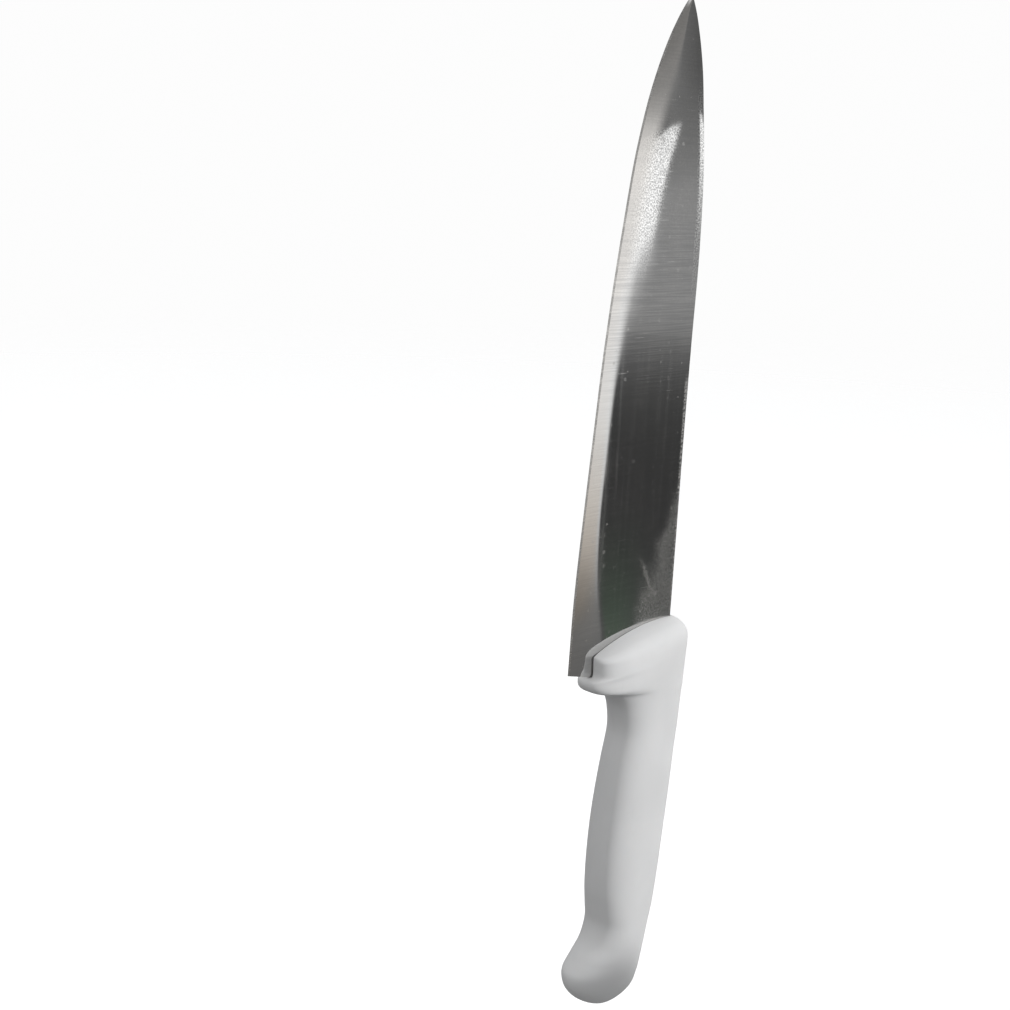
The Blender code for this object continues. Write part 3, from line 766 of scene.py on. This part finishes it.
def make_floor():
    rings, spokes = 24, 64
    verts, faces = [(0.0, 0.0, FLOOR_Z)], []
    for r in range(1, rings + 1):
        for s in range(spokes):
            a = 2 * math.pi * s / spokes
            d = FLOOR_R * (r / rings) ** 1.5
            verts.append((d * math.cos(a), d * math.sin(a), FLOOR_Z))
    for s in range(spokes):
        faces.append((0, 1 + s, 1 + (s + 1) % spokes))
    for r in range(rings - 1):
        for s in range(spokes):
            a, b = 1 + r * spokes + s, 1 + r * spokes + (s + 1) % spokes
            faces.append((a, a + spokes, b + spokes, b))
    mesh = bpy.data.meshes.new("floor")
    mesh.from_pydata(verts, [], faces)
    floor = bpy.data.objects.new("floor", mesh)
    bpy.context.scene.collection.objects.link(floor)
    mat, g, bsdf = new_material("pale_floor")
    here = g.add("ShaderNodeTexCoord").outputs["Object"]
    away = g.add("ShaderNodeVectorMath", {0: here}, operation="LENGTH").outputs["Value"]
    tooth = g.noise(here, scale=900.0, detail=2.0)
    g.put(bsdf.inputs["Base Color"], g.mix(tooth, (0.86, 0.86, 0.86), (0.88, 0.88, 0.88)))
    g.put(bsdf.inputs["Roughness"], 0.9)
    g.put(bsdf.inputs["Specular IOR Level"], 0.0)
    g.put(bsdf.inputs["Emission Color"], (1.0, 1.0, 1.0, 1.0))
    g.put(bsdf.inputs["Emission Strength"], 0.55)
    clear = g.add("ShaderNodeBsdfTransparent")
    both = g.add("ShaderNodeMixShader", {0: g.remap(away, 0.9, 3.4, 0.0, 1.0)})
    out = mat.node_tree.nodes["Material Output"]
    mat.node_tree.links.new(bsdf.outputs[0], both.inputs[1])
    mat.node_tree.links.new(clear.outputs[0], both.inputs[2])
    mat.node_tree.links.new(both.outputs[0], out.inputs["Surface"])
    mesh.materials.append(mat)
    floor.visible_diffuse = False
    floor.visible_glossy = False
    return floor


def make_world():
    """A pale room: white behind the knife, and a simple studio for the steel to mirror."""
    world = bpy.data.worlds.new("studio")
    bpy.context.scene.world = world
    world.use_nodes = True
    tree = world.node_tree
    g = Graph(tree)
    tree.nodes.clear()
    ray = g.add("ShaderNodeTexCoord").outputs["Generated"]
    unit = g.add("ShaderNodeVectorMath", {0: ray}, operation="NORMALIZE").outputs["Vector"]
    part = g.add("ShaderNodeSeparateXYZ", {"Vector": unit})
    x, y, z = part.outputs
    az = g.math("MULTIPLY", g.math("ARCTAN2", y, x), 180 / math.pi)
    el = g.math("MULTIPLY", g.math("ARCSINE", z), 180 / math.pi)

    # what the steel mirrors, by azimuth and elevation in degrees
    def by_height(points):
        """Brightness (or an azimuth) as a curve of the elevation."""
        low, high = points[0][0], points[-1][0]
        base, span = min(p[1] for p in points), max(max(p[1] for p in points) - min(p[1] for p in points), 1e-6)
        node = g.add("ShaderNodeFloatCurve", {"Value": g.remap(el, low, high, 0.0, 1.0, smooth=False)})
        curve = node.mapping.curves[0]
        while len(curve.points) < len(points):
            curve.points.new(0.5, 0.5)
        for p, (e, v) in zip(curve.points, points):
            p.location = ((e - low) / (high - low), (v - base) / span)
        node.mapping.update()
        return g.math("ADD", g.math("MULTIPLY", node.outputs[0], span), base)

    # straight behind the viewer: a dim room, dark below the horizon
    room = by_height([(-40.0, 0.16), (-22.0, 0.13), (-17.8, 0.115), (-16.3, 0.088), (-13.0, 0.062), (-10.5, 0.064), (-9.0, 0.075), (-7.9, 0.095),
                      (-6.8, 0.15), (-5.7, 0.26), (-4.6, 0.38), (-3.0, 0.41), (-0.5, 0.40), (1.2, 0.32), (2.6, 0.25),
                      (4.0, 0.21), (6.0, 0.17), (9.0, 0.16), (20.0, 0.35), (45.0, 0.6)])
    room = g.math("MULTIPLY", room, g.blend(g.remap(el, 2.6, 5.0), 1.0, g.remap(az, -40.4, -38.5, 1.75, 0.85)))
    # the window to its left, which the ground strip along the edge mirrors all the way down
    window = by_height([(-40.0, 0.25), (-20.0, 0.19), (-17.8, 0.24), (-16.3, 0.36), (-13.5, 0.74), (-10.6, 0.97),
                        (-6.0, 1.24), (-3.6, 1.23), (0.0, 1.18), (1.6, 1.12), (2.6, 0.92), (4.0, 0.50), (5.4, 0.36), (9.0, 0.28),
                        (25.0, 0.5), (45.0, 0.7)])
    side = by_height([(-20.0, -42.2), (-16.3, -42.4), (-10.6, -42.15), (-8.0, -41.9), (-6.2, -41.5), (-4.6, -41.15), (-3.4, -40.8), (-2.3, -40.3),
                      (-1.2, -40.0), (-0.1, -39.85), (1.1, -39.65), (3.2, -39.2), (10.0, -38.6)])
    past = g.math("SUBTRACT", side, az)  # > 0 inside the window
    soft = g.blend(g.remap(el, -5.5, -4.5), g.remap(el, -9.0, -6.5, 0.30, 0.62), g.remap(el, -3.2, -0.8, 0.80, 0.04))
    inside = g.remap(g.math("DIVIDE", past, soft), -1.0, 1.0)
    pebble = g.noise(unit, scale=560.0, detail=1.0, rough=0.6)
    sparkle = g.remap(pebble, 0.38, 0.60, 0.80, 1.35)
    forward = g.math("MULTIPLY", g.remap(el, -6.0, -1.0), g.remap(past, 1.2, 2.4, 1.0, 0.0))
    glare = g.math("MULTIPLY", window, g.blend(forward, 1.0, sparkle))
    top = g.math("ADD", 2.95, g.math("MULTIPLY", g.math("ADD", az, 39.2), 0.42))
    under_top = g.remap(g.math("SUBTRACT", top, el), -0.05, 0.05)
    halo = g.blend(under_top, g.math("MULTIPLY", window, 0.72), glare)
    halo = g.blend(g.remap(past, 0.7, 1.6), g.blend(under_top, room, halo), window)
    base = g.blend(inside, room, halo)
    # a second bright pane to the right, seen only in the relief beside the spine
    right_side = g.math("MULTIPLY", g.remap(az, -37.6, -36.4), g.remap(az, -26.0, -20.0, 1.0, 0.0))
    right_side = g.math("MULTIPLY", right_side, g.math("MULTIPLY", g.remap(el, -2.2, 2.8), g.remap(el, 3.3, 3.6, 1.0, 0.0)))
    base = g.blend(right_side, base, g.math("MULTIPLY", sparkle, 1.05))
    # elsewhere the room is pale
    pale = g.blend(g.remap(el, -35.0, 25.0), 0.36, 0.92)
    near = g.math("MULTIPLY", g.remap(az, -64.0, -52.0), g.remap(az, -26.0, -12.0, 1.0, 0.0))
    base = g.blend(near, pale, base)
    warm = g.math("MULTIPLY", g.remap(el, -17.0, -8.0, 1.0, 0.25), g.remap(past, 0.4, 1.6))
    warm = g.math("MULTIPLY", warm, g.remap(el, -18.4, -16.8, 0.2, 1.0))
    leafy = g.math("MULTIPLY", g.remap(el, -17.5, -12.0, 1.0, 0.0), g.remap(az, -42.2, -40.8))
    leafy = g.math("MULTIPLY", leafy, g.remap(az, -40.7, -38.9, 1.0, 0.0))
    tint = g.mix(warm, (1.0, 1.0, 1.0), (1.0, 0.90, 0.79))
    tint = g.mix(leafy, tint, (0.90, 1.16, 0.92))
    tint = g.mix(near, (1.0, 1.0, 1.0), tint)
    mirrored = g.add("ShaderNodeBackground", {"Color": tint, "Strength": base})

    # soft fill for everything that isn't metal: brighter from above and from +x
    lean = g.add("ShaderNodeVectorMath", {0: unit, 1: (0.28, -0.30, 0.91)}, operation="DOT_PRODUCT").outputs["Value"]
    fill = g.add("ShaderNodeBackground", {"Color": (0.98, 0.99, 1.0, 1.0), "Strength": g.remap(lean, -1.0, 1.0, 0.03, 0.65, smooth=False)})
    backdrop = g.add("ShaderNodeBackground", {"Color": (1.0, 1.0, 1.0, 1.0), "Strength": 0.98})
    path = g.add("ShaderNodeLightPath")
    one = g.add("ShaderNodeMixShader", {0: path.outputs["Is Glossy Ray"], 1: fill.outputs[0], 2: mirrored.outputs[0]})
    two = g.add("ShaderNodeMixShader", {0: path.outputs["Is Camera Ray"], 1: one.outputs[0], 2: backdrop.outputs[0]})
    out = g.add("ShaderNodeOutputWorld")
    tree.links.new(two.outputs[0], out.inputs["Surface"])


def area(name, at, aim, size, power, colour=(1.0, 1.0, 1.0), glossy=True):
    data = bpy.data.lights.new(name, "AREA")
    data.shape, data.size, data.size_y = "RECTANGLE", size[0], size[1]
    data.energy, data.color = power, colour
    obj = bpy.data.objects.new(name, data)
    obj.location = at
    obj.rotation_mode = "QUATERNION"
    obj.rotation_quaternion = (Vector(aim) - Vector(at)).to_track_quat("-Z", "Y")
    obj.visible_glossy = glossy
    obj.visible_camera = False
    bpy.context.scene.collection.objects.link(obj)
    return obj


def spot(name, at, aim, half_angle, blend, power):
    """Narrow lamp whose cone runs out softly over the butt of the grip."""
    data = bpy.data.lights.new(name, "SPOT")
    data.energy, data.shadow_soft_size = power, 0.008
    data.spot_size, data.spot_blend = math.radians(2 * half_angle), blend
    obj = bpy.data.objects.new(name, data)
    obj.location = at
    obj.rotation_mode = "QUATERNION"
    obj.rotation_quaternion = (Vector(aim) - Vector(at)).to_track_quat("-Z", "Y")
    obj.visible_glossy = False
    obj.visible_camera = False
    bpy.context.scene.collection.objects.link(obj)
    return obj


make_floor()
make_world()
MIDDLE = (-0.01, 0.0, -0.10)
spot("key", (0.75, -1.42, 0.30), (0.26, 0.0, 0.0), 12.55, 0.065, 61.5)
area("top", (0.3, 0.1, 1.6), MIDDLE, (1.4, 1.4), 0.2, glossy=False)
area("left", (-1.25, 0.20, 0.50), MIDDLE, (1.2, 1.2), 3.5, glossy=False)

camera_data = bpy.data.cameras.new("camera")
camera_data.sensor_width, camera_data.lens = 36.0, 36.0 * 1380.0 / 1010.0
camera_data.clip_start, camera_data.clip_end = 0.01, 50.0
camera = bpy.data.objects.new("camera", camera_data)
bpy.context.scene.collection.objects.link(camera)
right, up, ahead = (0.69945, -0.71336, 0.04341), (0.13134, 0.18800, 0.97335), (0.70251, 0.67511, -0.22519)
place = Matrix((
    (right[0], up[0], -ahead[0], -0.421138),
    (right[1], up[1], -ahead[1], -0.325813),
    (right[2], up[2], -ahead[2], 0.032630),
    (0.0, 0.0, 0.0, 1.0),
))
camera.matrix_world = place
bpy.context.scene.camera = camera
bpy.context.scene.view_settings.view_transform = "Standard"
